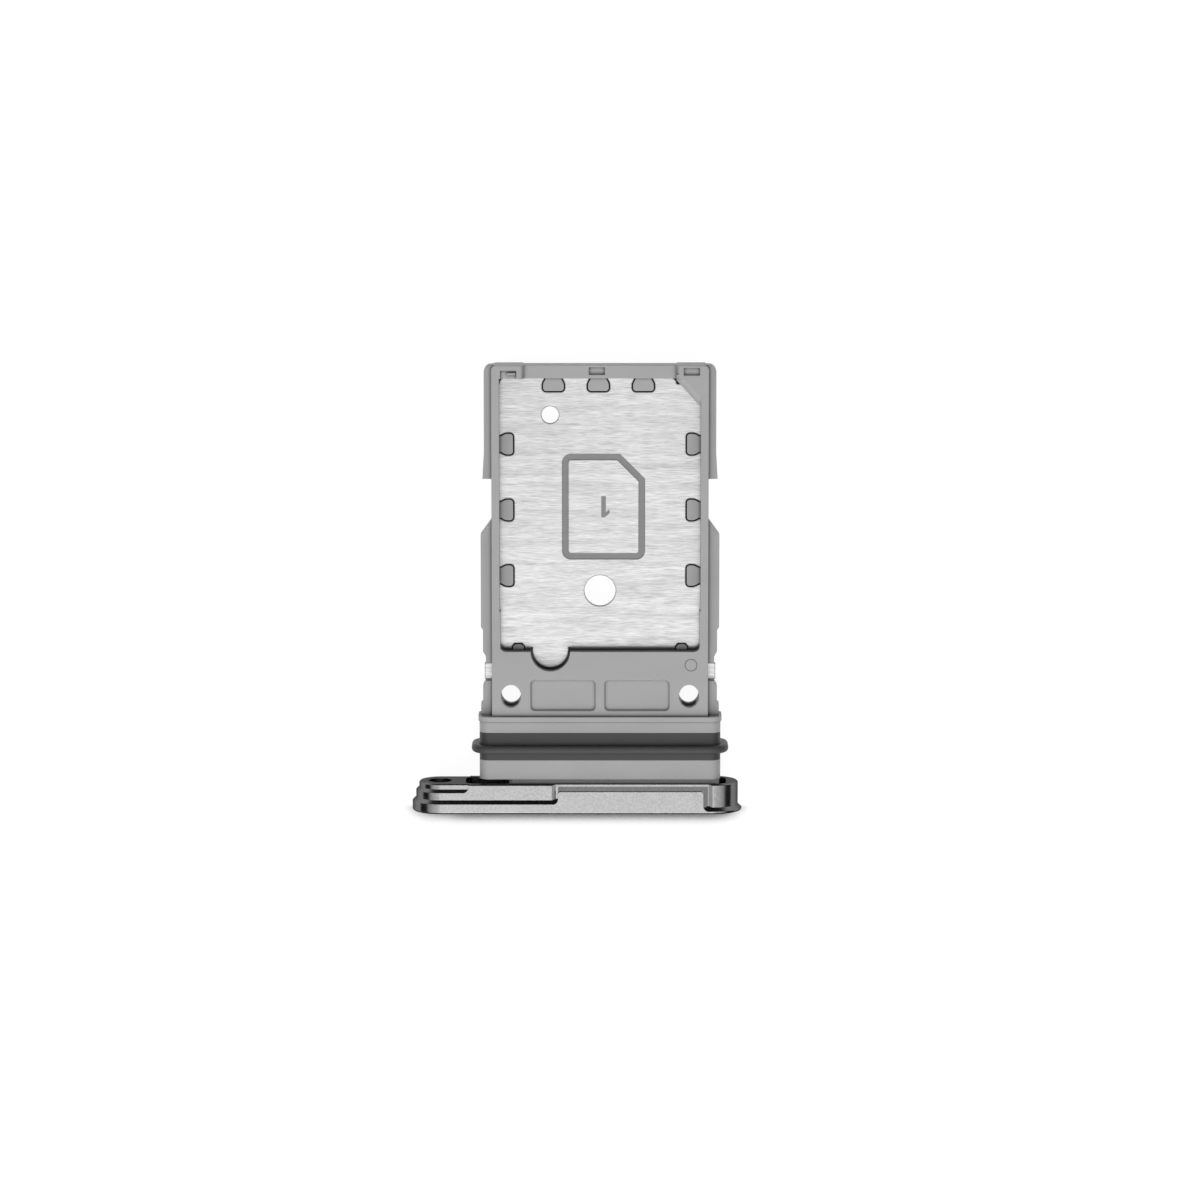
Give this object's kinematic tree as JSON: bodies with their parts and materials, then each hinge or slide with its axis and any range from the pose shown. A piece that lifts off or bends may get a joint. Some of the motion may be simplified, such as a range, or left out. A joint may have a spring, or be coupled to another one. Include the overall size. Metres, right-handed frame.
{
  "type": "sim card tray",
  "caption": "Phone card tray: moulded carrier on a steel sheet with a card pocket on each face, a seal round its neck and a metal door with an eject hole.",
  "frame": {"origin": "on the door's outer face, in the middle of the carrier's width and of the tray's thickness", "axes": "+Y from the door to the insertion end, +Z towards the first card's side, +X away from the eject hole"},
  "size_m": [0.0149, 0.0203, 0.0026],
  "materials": {
    "door_metal": "dark grey anodised aluminium, bead blasted on the outer face and milled on the sides",
    "carrier_plastic": "matte grey moulded plastic",
    "sheet_steel": "stainless steel, brushed across the tray",
    "seal_rubber": "dark matte silicone"
  },
  "bodies": {
    "root": {"door": "door_metal", "carrier": "carrier_plastic", "divider_plate": "sheet_steel", "seal": "seal_rubber"}
  },
  "joints": []
}
